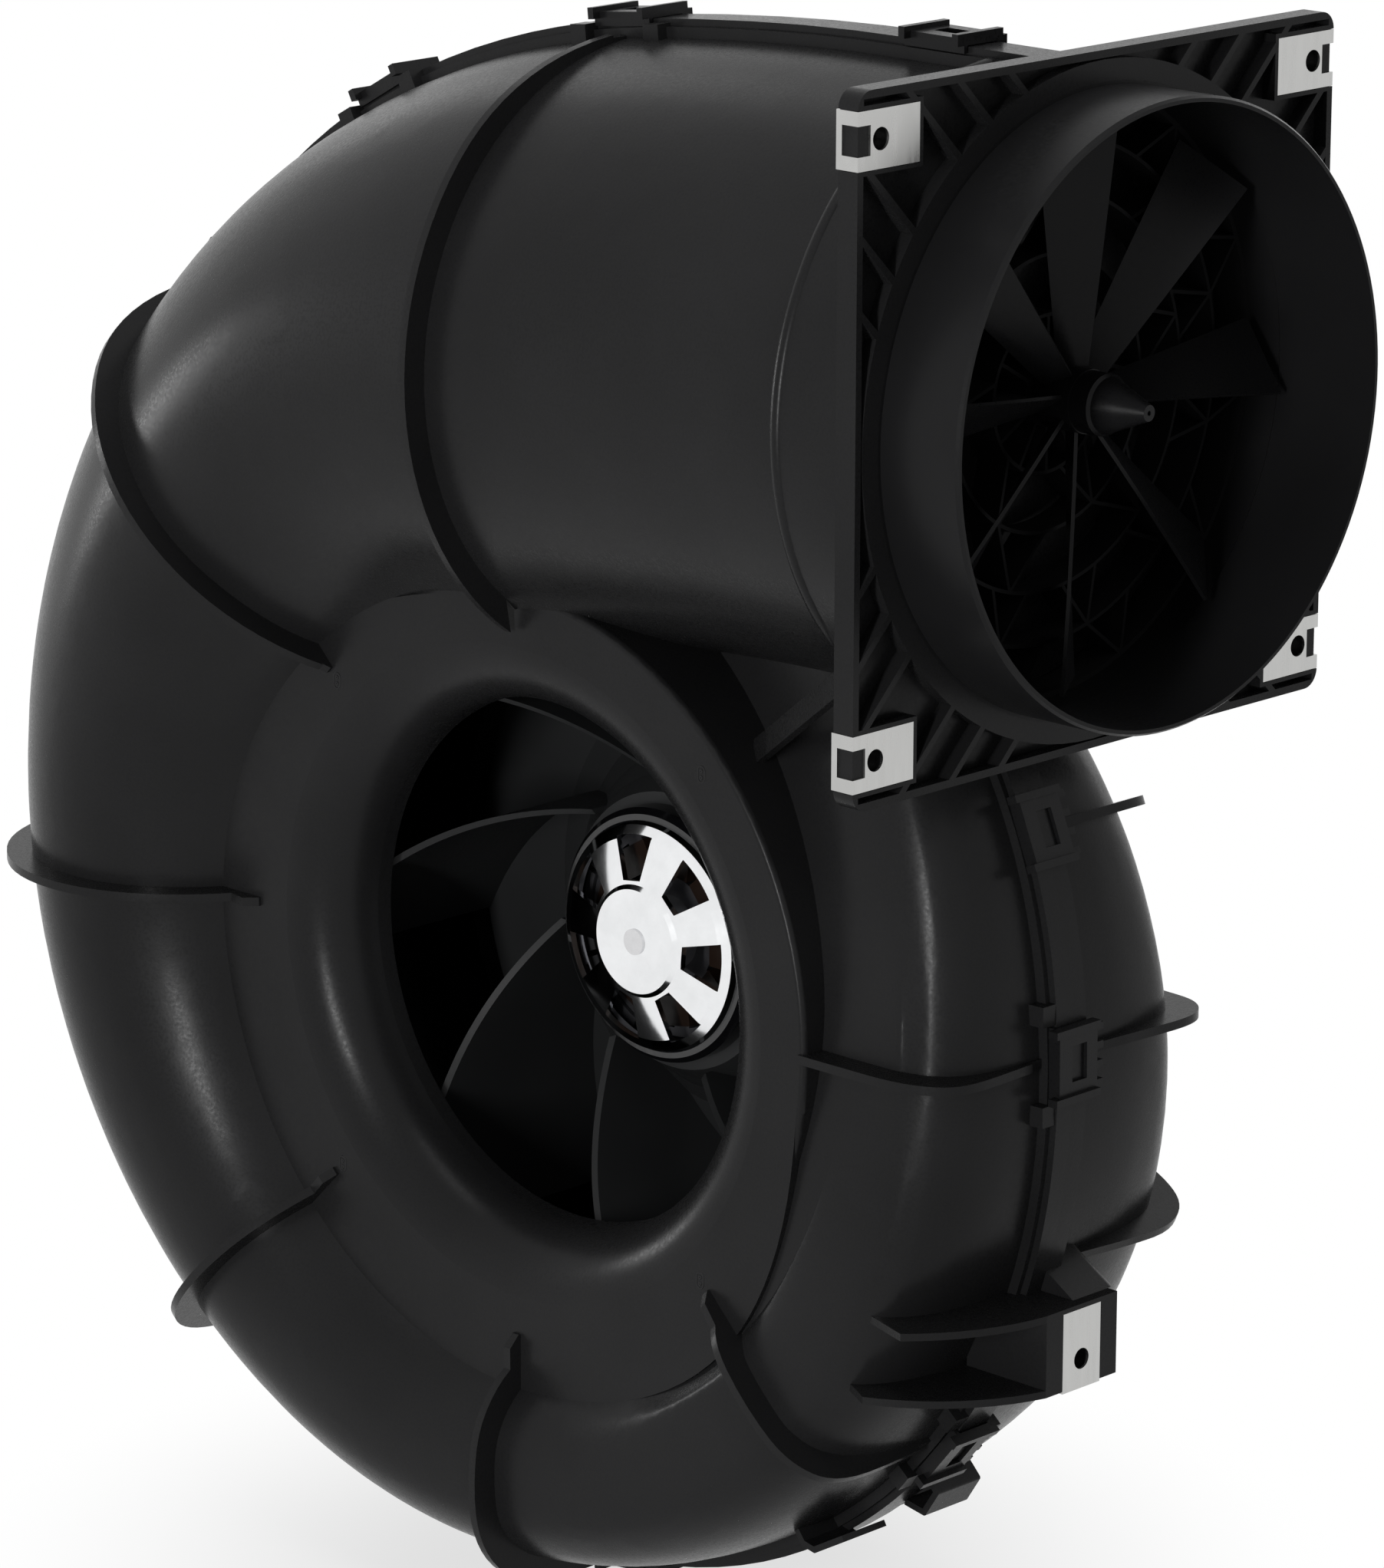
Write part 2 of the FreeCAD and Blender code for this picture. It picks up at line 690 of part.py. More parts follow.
def make_outlet_collar():
    points = [
        (duct_radius, -socket_depth), (duct_radius, 0.0), (spigot_radius, 0.0),
        (spigot_radius, collar_length - 1.0),
        (spigot_radius - 0.8, collar_length), (spigot_radius - collar_wall, collar_length),
        (spigot_radius - collar_wall, -flange_thickness), (collar_inner_radius, -flange_thickness - 1.0),
        (collar_inner_radius, grid_back + collar_wall), (collar_inner_radius - 1.0, grid_back + collar_wall),
        (collar_inner_radius - 1.0, -socket_depth)]
    return turned(points, about_x=True)


def grid_front():
    return grid_back + collar_wall + grid_depth


def make_flow_grid():
    """Web of rings and fins that straightens the flow ahead of the vane wheel."""
    back = grid_back + collar_wall
    front = grid_front()
    edges = (wheel_hub_radius - 1.0,) + grid_rings + (collar_inner_radius - 0.8,)
    pieces = []
    for radius in grid_rings:
        ring = tube_x(radius + grid_web / 2, back, front).cut(tube_x(radius - grid_web / 2, back, front))
        pieces.append(ring)
    rim = tube_x(collar_inner_radius, back, front).cut(tube_x(collar_inner_radius - 1.6, back, front))
    hub = tube_x(wheel_hub_radius, back, front)
    hub = hub.fuse(tube_x(wheel_hub_radius - 3.0, front, wheel_front - wheel_hub_length - 0.5))
    pieces += [rim, hub]
    for zone in range(len(edges) - 1):
        inner, outer = edges[zone], edges[zone + 1]
        count = grid_spokes if zone < 3 else 2 * grid_spokes
        lean = 0.0 if zone == 0 else 180.0 / count
        for i in range(count):
            start = math.radians(360.0 * i / count + zone * lean)
            end = start + math.radians(lean if i % 2 else -lean)
            a = vec(back, inner * math.cos(start), inner * math.sin(start))
            b = vec(back, outer * math.cos(end), outer * math.sin(end))
            across = (b - a).cross(x_dir).normalize() * (grid_web / 2)
            outline = [a + across, b + across, b - across, a - across, a + across]
            pieces.append(Part.Face(Part.makePolygon(outline)).extrude(vec(grid_depth, 0, 0)))
    return fuse(pieces).cut(tube_x(axle_radius, back + axle_root, 0))


def make_anemometer_axle():
    return tube_x(axle_radius, grid_back + collar_wall + axle_root, axle_front)


def wheel_blade():
    """One twisted blade of the vane wheel, wider and flatter towards its tip."""
    sections = []
    for radius, chord, pitch in wheel_sections:
        turn = math.radians(pitch)
        along = vec(math.sin(turn), math.cos(turn), 0) * (chord / 2)
        across = vec(math.cos(turn), -math.sin(turn), 0) * (wheel_blade_thickness / 2)
        middle = vec(wheel_front - wheel_hub_length / 2, 0, radius)
        corners = [along + across, along - across, across * -1 - along, across - along]
        points = [middle + corner for corner in corners]
        sections.append(Part.makePolygon(points + [points[0]]))
    return Part.makeLoft(sections, True, False)


def make_anemometer_wheel():
    hub = tube_x(wheel_hub_radius, wheel_front - wheel_hub_length, wheel_front)
    blades = []
    blade = wheel_blade()
    for i in range(wheel_blades):
        copy = blade.copy()
        copy.rotate(origin, x_dir, 360.0 * i / wheel_blades)
        blades.append(copy)
    return hub.fuse(blades).cut(tube_x(axle_radius + running_fit, grid_back, 10))


def make_nose_cone():
    """Nose of the vane wheel: a round ring, then a cone with a small hole in its end."""
    crease = nose_ring_front + 1.0
    points = [
        (0, wheel_front), (nose_ring_radius, wheel_front), (nose_ring_radius, nose_ring_front),
        (nose_ring_radius - 0.9, crease), (nose_tip_radius, nose_tip), (0, nose_tip)]
    cone = turned(points, about_x=True)
    cone = cone.cut(tube_x(axle_radius + running_fit, wheel_front - 1, axle_front + 0.5))
    return cone.cut(tube_x(0.8, nose_tip - 3.0, nose_tip + 1))


def shroud_path():
    """Flow side of the shroud from eye to rim, as (radius, position) points."""
    rise = shroud_front - shroud_back
    width = impeller_radius - eye_radius
    points = []
    for share in (0.0, 0.04, 0.14, 0.3, 0.55, 1.0):
        points.append((eye_radius + width * share, -shroud_back - rise * (1.0 - share) ** 4))
    return points


def hub_path():
    """Flow side of the hub, from the rotor out to the rim, as (radius, position) points."""
    start = rotor_radius + 4.0
    points = [(start, hub_nose)]
    for share in (0.15, 0.35, 0.6, 1.0):
        drop = (hub_plane - hub_nose) * (1.0 - (1.0 - share) ** 2)
        points.append((start + 34.0 * share, hub_nose + drop))
    points.append((impeller_radius, hub_plane))
    return points


def make_impeller_shroud():
    flow_side = shroud_path()
    outside = [(radius + shroud_wall * 0.4, along - shroud_wall) for radius, along in flow_side]
    outside[0] = (eye_radius + shroud_wall, -shroud_front)
    outside[-1] = (impeller_radius, -shroud_back - shroud_wall)
    return turned(flow_side + outside[::-1])


def make_impeller_hub():
    flow_side = hub_path()
    back = [(impeller_radius, hub_plane + hub_wall), (rotor_radius + 36.0, hub_plane + hub_wall)]
    back += [(rotor_radius + 22.0, hub_plane - 3.5), (rotor_radius + 3.0, hub_plane - 16.0)]
    back += [(rotor_radius + 3.0, hub_plane - 4.0), (rotor_radius, hub_plane - 4.0), (rotor_radius, hub_nose)]
    return turned(flow_side + back)


def blade_angle(radius):
    """Clock angle of a backward-curved blade's centre line at a radius."""
    share = (radius - blade_inner_radius) / (impeller_radius - blade_inner_radius)
    return -blade_sweep * share ** 0.85 if share > 0 else 0.0


def make_impeller_blades():
    """Seven backward-curved blades, trimmed to the hub, the shroud and a raked inlet edge."""
    radii = [blade_inner_radius + (impeller_radius - 0.1 - blade_inner_radius) * i / 5 for i in range(6)]
    sides = ([], [])
    for radius in radii:
        here = on_scroll(blade_angle(radius), radius, 0)
        ahead = on_scroll(blade_angle(radius + 0.5), radius + 0.5, 0)
        across = (ahead - here).cross(y_dir).normalize() * (blade_thickness / 2)
        sides[0].append(here + across)
        sides[1].append(here - across)
    curves = []
    for points in sides:
        spline = Part.BSplineCurve()
        spline.interpolate(points)
        curves.append(spline.toShape())
    ends = [Part.makeLine(sides[0][0], sides[1][0]), Part.makeLine(sides[0][-1], sides[1][-1])]
    outline = Part.Wire(Part.__sortEdges__(curves + ends))
    strip = Part.Face(outline)
    strip.translate(vec(0, -shroud_front - 5, 0))
    strip = strip.extrude(vec(0, shroud_front + hub_plane + 10, 0))
    region = turned(shroud_path()[2:] + hub_path()[::-1])
    blade = strip.common(region)
    return Part.Compound([at_angle(blade, blade_phase + 360.0 * i / blade_count) for i in range(blade_count)])


def make_rotor_shell():
    inner = rotor_radius - rotor_wall
    points = [(inner, rotor_front), (rotor_radius - 2.0, rotor_front)]
    points += [(rotor_radius, rotor_front + 2.0), (rotor_radius, rotor_back), (inner, rotor_back)]
    return turned(points)


def make_rotor_cap():
    """Pressed cover of the rotor with a raised disc and wedge-shaped windows."""
    skirt = rotor_radius - rotor_wall
    points = [
        (shaft_radius, cap_front), (cap_disc_radius, cap_front), (cap_disc_radius + 1.5, cap_front + 1.2),
        (skirt - 5.0, cap_front + 4.5), (skirt - 1.0, cap_front + 6.5), (skirt, cap_front + 8.5),
        (skirt, cap_front + 13.0), (skirt - 1.5, cap_front + 13.0), (skirt - 1.5, cap_front + 9.0),
        (skirt - 5.5, cap_front + 6.5), (cap_disc_radius, cap_front + 3.2),
        (9.0, cap_front + 2.5), (9.0, cap_front + 10.0), (shaft_radius, cap_front + 10.0)]
    cap = turned(points)
    inner, outer = cap_disc_radius + 3.0, skirt - 4.0
    half = window_width / 2
    corners = [on_scroll(-half * 0.8, inner, 0), on_scroll(half * 0.8, inner, 0)]
    rim = [on_scroll(angle, outer, 0) for angle in (half, 0.0, -half)]
    edges = [Part.makeLine(corners[0], corners[1]), Part.makeLine(corners[1], rim[0])]
    edges += [Part.Arc(*rim).toShape(), Part.makeLine(rim[2], corners[0])]
    window = Part.Face(Part.Wire(edges))
    window.translate(vec(0, cap_front - 1, 0))
    window = window.extrude(vec(0, 12, 0))
    for i in range(window_count):
        cap = cap.cut(at_angle(window, -98.0 + 360.0 * i / window_count))
    return cap


def arc_block(inner, outer, span, front, back):
    """Ring segment centred on clock angle 0."""
    half = span / 2
    outside = [on_scroll(angle, outer, front) for angle in (-half, 0.0, half)]
    inside = [on_scroll(angle, inner, front) for angle in (half, 0.0, -half)]
    edges = [Part.Arc(*outside).toShape(), Part.makeLine(outside[2], inside[0])]
    edges += [Part.Arc(*inside).toShape(), Part.makeLine(inside[2], outside[0])]
    return Part.Face(Part.Wire(edges)).extrude(vec(0, back - front, 0))


def around(shape, count):
    return [at_angle(shape, 360.0 * i / count) for i in range(count)]


def make_rotor_magnets():
    outer = rotor_radius - rotor_wall
    block = arc_block(outer - magnet_thickness, outer, 42.0, stator_front - 1, stator_back + 3)
    return Part.Compound(around(block, 8))


def make_motor_shaft():
    return tube_y(shaft_radius, cap_front - 0.6, bearing_back + bearing_width + 1.0)


def stator_radius():
    return rotor_radius - rotor_wall - magnet_thickness - air_gap


def make_stator_core():
    tube = bearing_outer_radius + 3.5
    yoke = tube_y(tube + 7.0, stator_front, stator_back)
    tooth = box(axis_x + tube, axis_x + stator_radius() - 2.5, stator_front, stator_back,
                axis_z - 3.5, axis_z + 3.5)
    shoe = arc_block(stator_radius() - 3.0, stator_radius(), 31.0, stator_front, stator_back)
    teeth = around(tooth, tooth_count) + around(shoe, tooth_count)
    return yoke.fuse(teeth).cut(tube_y(tube, 0, 60))


def make_stator_windings():
    tube = bearing_outer_radius + 3.5
    coil = box(axis_x + tube + 8.5, axis_x + stator_radius() - 4.5, stator_front - 3, stator_back + 3,
               axis_z - 7, axis_z + 7)
    tooth = box(axis_x, axis_x + 60, stator_front, stator_back, axis_z - 3.5, axis_z + 3.5)
    return Part.Compound(around(coil.cut(tooth), tooth_count))


def make_motor_flange():
    """Stator support: bearing tube, spigot through the casing and bolted flange."""
    tube = bearing_outer_radius + 3.5
    back = rear_plane + motor_flange_thickness
    spigot = motor_hole_radius - 0.3
    points = [
        (bearing_outer_radius, bearing_front), (tube, bearing_front), (tube, motor_spigot_front),
        (spigot, motor_spigot_front), (spigot, rear_plane), (motor_flange_radius, rear_plane),
        (motor_flange_radius, back), (spigot - 4, back), (spigot - 4, motor_spigot_front + 4),
        (tube + 3, motor_spigot_front + 4), (tube + 3, bearing_back + bearing_width + 3),
        (bearing_outer_radius, bearing_back + bearing_width + 3)]
    shape = turned(points)
    for angle in screw_angles(45.0):
        place = on_scroll(angle, motor_screw_circle, 0)
        shape = shape.cut(tube_y(motor_screw_radius, rear_plane - 1, back + 1, place.x, place.z))
    return shape


def make_shaft_bearings():
    rings = []
    for front in (bearing_front, bearing_back):
        ring = tube_y(bearing_outer_radius, front, front + bearing_width)
        rings.append(ring.cut(tube_y(shaft_radius + running_fit, front - 1, front + bearing_width + 1)))
    return Part.Compound(rings)


def make_motor_screws():
    back = rear_plane + motor_flange_thickness
    screws = []
    for angle in screw_angles(45.0):
        place = on_scroll(angle, motor_screw_circle, 0)
        shank = tube_y(motor_screw_radius, motor_boss_front + 2, back, place.x, place.z)
        head = tube_y(4.5, back, back + 3.2, place.x, place.z)
        screws.append(shank.fuse(head))
    return Part.Compound(screws)


def pot_front():
    return rear_plane + motor_flange_thickness


def pot_back():
    return pot_front() + pot_depth


def make_electronics_housing():
    """Finned pot behind the motor flange that holds the electronics."""
    inside = pot_radius - pot_wall
    wall_ring = tube_y(pot_radius, pot_front(), pot_back()).cut(tube_y(inside, pot_front(), pot_back()))
    ledge = tube_y(inside + 1, board_plane - 2.5, board_plane)
    ledge = ledge.cut(tube_y(board_radius - 3, board_plane - 3, board_plane + 1))
    fin = box(axis_x + pot_radius - 1, axis_x + pot_radius + fin_height, pot_front(), pot_back() - 4,
              axis_z - 1, axis_z + 1)
    pieces = [wall_ring, ledge] + around(fin, fin_count)
    bosses = []
    holes = []
    for angle in screw_angles(0.0):
        place = on_scroll(angle, cover_screw_circle, 0)
        bosses.append(tube_y(4.0, pot_front(), pot_back(), place.x, place.z))
        rest = box(axis_x + cover_screw_circle, axis_x + inside + 1, pot_front(), pot_back(),
                   axis_z - 3, axis_z + 3)
        bosses.append(at_angle(rest, angle))
        holes.append(tube_y(cover_screw_radius, pot_back() - 9, pot_back() + 1, place.x, place.z))
    shape = fuse(pieces + bosses)
    for hole in holes:
        shape = shape.cut(hole)
    return shape


def make_circuit_board():
    return tube_y(board_radius, board_plane, board_plane + board_thickness)


def make_capacitors():
    top = board_plane + board_thickness
    pieces = []
    for angle in (100.0, 140.0, 180.0):
        place = on_scroll(angle, 32.0, 0)
        pieces.append(tube_y(7.0, top, top + 14.0, place.x, place.z))
    return Part.Compound(pieces)


def make_electronics_cover():
    back = pot_back() + cover_thickness
    points = [(0, pot_back()), (pot_radius, pot_back()), (pot_radius, back - 1.5)]
    points += [(pot_radius - 1.5, back), (0, back)]
    cover = turned(points)
    gland = on_scroll(90.0, gland_offset, 0)
    cover = cover.cut(tube_y(gland_thread_radius, pot_back() - 1, back + 1, gland.x, gland.z))
    for angle in screw_angles(0.0):
        place = on_scroll(angle, cover_screw_circle, 0)
        cover = cover.cut(tube_y(cover_screw_radius, pot_back() - 1, back + 1, place.x, place.z))
    return cover


def make_cover_screws():
    back = pot_back() + cover_thickness
    screws = []
    for angle in screw_angles(0.0):
        place = on_scroll(angle, cover_screw_circle, 0)
        shank = tube_y(cover_screw_radius, pot_back() - 8, back, place.x, place.z)
        screws.append(shank.fuse(tube_y(3.0, back, back + 2.2, place.x, place.z)))
    return Part.Compound(screws)


def make_cable_gland():
    """Cable inlet of the electronics, shown without a cable."""
    back = pot_back() + cover_thickness
    place = on_scroll(90.0, gland_offset, 0)
    thread = tube_y(gland_thread_radius, pot_back() - 4, back, place.x, place.z)
    corners = []
    for i in range(7):
        turn = math.radians(60.0 * i)
        corners.append(vec(place.x + 9.0 * math.cos(turn), back, place.z + 9.0 * math.sin(turn)))
    hexagon = Part.Face(Part.makePolygon(corners)).extrude(vec(0, 5.0, 0))
    dome = Part.makeCone(8.0, 6.0, 10.0, vec(place.x, back + 5.0, place.z), y_dir)
    body = fuse([thread, hexagon, dome])
    return body.cut(tube_y(gland_bore_radius, pot_back() - 5, back + 20, place.x, place.z))


def seam_clip(radius):
    """Snap clip over the seam rim, drawn at clock angle 0 for a given casing radius."""
    half = clip_length / 2
    base = axis_x + radius
    under = base + seam_height + clip_play
    top = under + clip_plate
    low, high = axis_z - half, axis_z + half
    pieces = [box(under, top, -clip_half_width, clip_half_width, low, high)]
    pieces.append(box(base + 4.0, top, -clip_half_width, -seam_half_width - clip_play, low, high))
    for end in (low, high - clip_cheek):
        crest = under + clip_cheek_height
        pieces.append(box(under, crest, -clip_half_width - 3.0, clip_half_width, end, end + clip_cheek))
    pitch = clip_length / clip_fingers
    for i in range(clip_fingers):
        middle = low + pitch * (i + 0.5)
        rear = seam_half_width + clip_play
        pieces.append(box(base + 1.5, top, rear, clip_half_width, middle - 2.0, middle + 2.0))
        tip = clip_reach - 2.0
        pieces.append(box(base + 3.0, top - 1.0, clip_half_width - 0.5, tip, middle - 1.2, middle + 1.2))
    window = box(under + 0.8, top + 1, -3.0, 4.0, axis_z - 6.0, axis_z + 6.0)
    return fuse(pieces).cut(window)


def on_seam(shape, angle):
    """A shape drawn at clock angle 0 for the radius there, tilted along the seam."""
    radius = scroll_radius(angle)
    slope = (scroll_radius(angle + 1.0) - scroll_radius(angle - 1.0)) / (2.0 * radius * math.radians(1.0))
    copy = shape.copy()
    copy.rotate(vec(axis_x + radius, 0, axis_z), y_dir, -math.degrees(math.atan(slope)))
    return at_angle(copy, angle)


def on_top(shape):
    """A shape drawn at clock angle 0 for the duct's radius, put on top of the duct."""
    copy = shape.copy()
    copy.translate(vec(-axis_x, 0, -axis_z))
    copy.rotate(origin, y_dir, -90.0)
    copy.translate(vec(top_clip_x, 0, 0))
    return copy


def clip_shoulders():
    """Blocks on the front half at both ends of each seam clip."""
    blocks = []
    for angle in clip_angles:
        if angle < 0:
            continue
        base = axis_x + scroll_radius(angle)
        for end in (-1, 1):
            start = axis_z + end * (clip_length / 2 + 0.7)
            finish = axis_z + end * shoulder_reach
            block = box(base - 2.0, base + seam_height - 1.0, -13.0, -seam_half_width + 1.0, start, finish)
            blocks.append(on_seam(block, angle))
    return blocks


def make_seam_clips():
    clips = [on_seam(seam_clip(scroll_radius(angle)), angle) for angle in clip_angles]
    return Part.Compound(clips + [on_top(seam_clip(duct_radius))])


def spring_nut():
    """Folded sheet nut in the XY plane: its fold at Y = 0, its hole towards -Y."""
    hole_y = -bolt_offset()
    half = nut_width / 2
    back = -flange_thickness
    front_leaf = box(-nut_sheet, 0, -nut_length, 0, -half, half)
    fold = box(back - nut_sheet, 0, -nut_sheet, 0, -half, half)
    back_leaf = box(back - nut_sheet, back, -nut_length + 5, 0, -half, half)
    collar = tube_x(nut_collar_radius, back - nut_sheet - nut_collar_length, back, hole_y, 0)
    body = fuse([front_leaf, fold, back_leaf, collar])
    body = body.cut(tube_x(nut_hole_radius, -2, 1, hole_y, 0))
    return body.cut(tube_x(nut_thread_radius, back - 8, back + 1, hole_y, 0))


def make_spring_nuts():
    """Four nuts on the flange, open at their fold, and a plain one on the bracket."""
    window = box(1.5 - flange_thickness, 1, -nut_window, 1, -nut_window_half, nut_window_half)
    nuts = []
    for side_y in (-1, 1):
        for side_z in (-1, 1):
            nut = spring_nut().cut(window)
            if side_y < 0:
                nut.rotate(origin, x_dir, 180.0)
            nut.translate(vec(0, side_y * half_flange, side_z * bolt_spacing_z / 2))
            nuts.append(nut)
    lower = spring_nut()
    lower.rotate(origin, x_dir, -90.0)
    lower.translate(vec(0, 0, bracket_z - bolt_offset()))
    return Part.Compound(nuts + [lower])


def export(name, shape):
    shape.exportStep(os.path.join("parts", name + ".step"))


def main():
    os.makedirs("parts", exist_ok=True)
    export("casing_front", make_casing_front())
    export("casing_rear", make_casing_rear())
    export("outlet_collar", make_outlet_collar())
    export("flow_grid", make_flow_grid())
    export("anemometer_axle", make_anemometer_axle())
    export("anemometer_wheel", make_anemometer_wheel())
    export("nose_cone", make_nose_cone())
    export("impeller_hub", make_impeller_hub())
    export("impeller_blades", make_impeller_blades())
    export("impeller_shroud", make_impeller_shroud())
    export("rotor_shell", make_rotor_shell())
    export("rotor_cap", make_rotor_cap())
    export("rotor_magnets", make_rotor_magnets())
    export("motor_shaft", make_motor_shaft())
    export("stator_core", make_stator_core())
    export("stator_windings", make_stator_windings())
    export("shaft_bearings", make_shaft_bearings())
    export("motor_flange", make_motor_flange())
    export("motor_screws", make_motor_screws())
    export("electronics_housing", make_electronics_housing())
    export("circuit_board", make_circuit_board())
    export("capacitors", make_capacitors())
    export("electronics_cover", make_electronics_cover())
    export("cover_screws", make_cover_screws())
    export("cable_gland", make_cable_gland())
    export("seam_clips", make_seam_clips())
    export("spring_nuts", make_spring_nuts())


main()
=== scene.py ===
import math

import bmesh
import bpy
from mathutils import Matrix, Vector


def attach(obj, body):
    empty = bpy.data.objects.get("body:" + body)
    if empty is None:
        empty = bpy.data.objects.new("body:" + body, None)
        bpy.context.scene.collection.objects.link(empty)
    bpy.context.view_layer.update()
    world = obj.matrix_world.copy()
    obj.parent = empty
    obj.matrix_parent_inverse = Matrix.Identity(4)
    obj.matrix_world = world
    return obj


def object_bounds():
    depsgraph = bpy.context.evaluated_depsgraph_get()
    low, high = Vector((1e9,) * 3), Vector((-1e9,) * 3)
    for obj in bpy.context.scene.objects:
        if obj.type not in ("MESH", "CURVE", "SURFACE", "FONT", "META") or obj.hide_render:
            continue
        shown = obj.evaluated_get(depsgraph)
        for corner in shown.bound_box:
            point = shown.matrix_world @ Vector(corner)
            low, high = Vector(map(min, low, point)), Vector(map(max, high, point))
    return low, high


# Looks of a moulded scroll fan. Metres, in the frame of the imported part: +X is the outlet,
# the inlet faces -Y, +Z is up.

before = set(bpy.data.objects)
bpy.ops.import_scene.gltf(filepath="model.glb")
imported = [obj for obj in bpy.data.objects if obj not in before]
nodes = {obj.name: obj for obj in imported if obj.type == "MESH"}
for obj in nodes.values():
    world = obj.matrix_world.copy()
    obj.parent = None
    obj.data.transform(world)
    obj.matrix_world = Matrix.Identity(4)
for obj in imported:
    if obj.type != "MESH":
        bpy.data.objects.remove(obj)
cad_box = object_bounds()

# Photograph's camera
camera_place = (1.3650, -1.5772, 0.4467)
camera_right = (0.71509571, 0.69902343, 0.00208758)
camera_up = (-0.18563173, 0.18701899, 0.96465784)
camera_back = (0.67392802, -0.69021021, 0.26349741)
camera_lens = 158.18

# Places on the part
impeller_axis = Vector((-0.198, 0.0, -0.214))
lamp_target = (-0.2, 0.0, -0.15)
floor_middle = (-0.2, 0.0, 0.0)
ring_face = -0.0595

# Ejector marks on the inlet ring: a slot of two half circles with two dots in it
mark_circle = 0.1206
mark_length = 0.0024
mark_radius = 0.0015
mark_bead = 0.00022
dot_offset = 0.0011
dot_length = 0.0001
dot_radius = 0.0004
dot_bead = 0.0003

# Surroundings
floor_reach = 12.0
floor_gap = 0.002
floor_dark = (0.72, 0.72, 0.72)
floor_light = (0.75, 0.75, 0.75)
floor_fade = (0.05, 0.25)
least_white = 0.7
soft_light = 0.16

# Rounded lip of the socket behind the outlet's flange
socket_end = -0.0394
socket_radius = 0.1035
lip_radius = 0.0030
lip_sink = 0.0021
lip_span = 150.0
lip_steps = 150
lip_sides = 12
lip_taper = 6.0


class Nodes:
    """Short hand for building one material's node tree."""

    def __init__(self, name):
        self.material = bpy.data.materials.new(name)
        self.material.use_nodes = True
        self.tree = self.material.node_tree
        self.shader = self.tree.nodes["Principled BSDF"]
        self.place = self.tree.nodes.new("ShaderNodeTexCoord").outputs["Object"]

    def noise(self, scale, detail=4.0, roughness=0.55, stretch=None):
        node = self.tree.nodes.new("ShaderNodeTexNoise")
        node.inputs["Scale"].default_value = scale
        node.inputs["Detail"].default_value = detail
        node.inputs["Roughness"].default_value = roughness
        self.tree.links.new(self.stretched(stretch), node.inputs["Vector"])
        return node.outputs["Fac"]

    def stretched(self, stretch):
        if stretch is None:
            return self.place
        mapping = self.tree.nodes.new("ShaderNodeMapping")
        mapping.inputs["Scale"].default_value = stretch
        self.tree.links.new(self.place, mapping.inputs["Vector"])
        return mapping.outputs["Vector"]

    def ramp(self, value, stops):
        node = self.tree.nodes.new("ShaderNodeValToRGB")
        ramp = node.color_ramp
        while len(ramp.elements) < len(stops):
            ramp.elements.new(0.5)
        for element, (position, colour) in zip(ramp.elements, stops):
            element.position = position
            element.color = (*colour, 1.0)
        self.tree.links.new(value, node.inputs["Fac"])
        return node.outputs["Color"]

    def range(self, value, low, high):
        node = self.tree.nodes.new("ShaderNodeMapRange")
        node.inputs["From Min"].default_value = 0.3
        node.inputs["From Max"].default_value = 0.7
        node.inputs["To Min"].default_value = low
        node.inputs["To Max"].default_value = high
        self.tree.links.new(value, node.inputs["Value"])
        return node.outputs["Result"]

    def bump(self, value, distance, strength=0.5):
        node = self.tree.nodes.new("ShaderNodeBump")
        node.inputs["Distance"].default_value = distance
        node.inputs["Strength"].default_value = strength
        self.tree.links.new(value, node.inputs["Height"])
        return node.outputs["Normal"]

    def join(self, value, socket):
        self.tree.links.new(value, self.shader.inputs[socket])


def plastic(name, colour, rough, grain_scale=900.0, grain_depth=0.00006, strength=0.35,
            specular=0.22):
    """Moulded plastic: fine grain, slight unevenness in colour and gloss."""
    made = Nodes(name)
    cloudy = made.noise(9.0, 3.0)
    grain = made.noise(grain_scale, 2.0)
    darker = tuple(c * 0.82 for c in colour)
    lighter = tuple(c * 1.16 for c in colour)
    made.join(made.ramp(cloudy, ((0.35, darker), (0.65, lighter))), "Base Color")
    made.join(made.range(grain, rough - 0.05, rough + 0.06), "Roughness")
    made.join(made.bump(grain, grain_depth, strength), "Normal")
    made.shader.inputs["Specular IOR Level"].default_value = specular
    return made.material


def metal(name, colour, rough, scale=60.0, stretch=(1.0, 1.0, 1.0), spread=0.05):
    """Metal with a faint worked structure in its gloss."""
    made = Nodes(name)
    marks = made.noise(scale, 5.0, 0.6, stretch)
    darker = tuple(c * 0.9 for c in colour)
    made.join(made.ramp(marks, ((0.3, darker), (0.7, colour))), "Base Color")
    made.join(made.range(marks, max(rough - spread, 0.02), rough + spread), "Roughness")
    made.join(made.bump(marks, 0.00002, 0.25), "Normal")
    made.shader.inputs["Metallic"].default_value = 1.0
    return made.material


def dress(material, *names):
    for name in names:
        slots = nodes[name].data.materials
        slots.clear()
        slots.append(material)


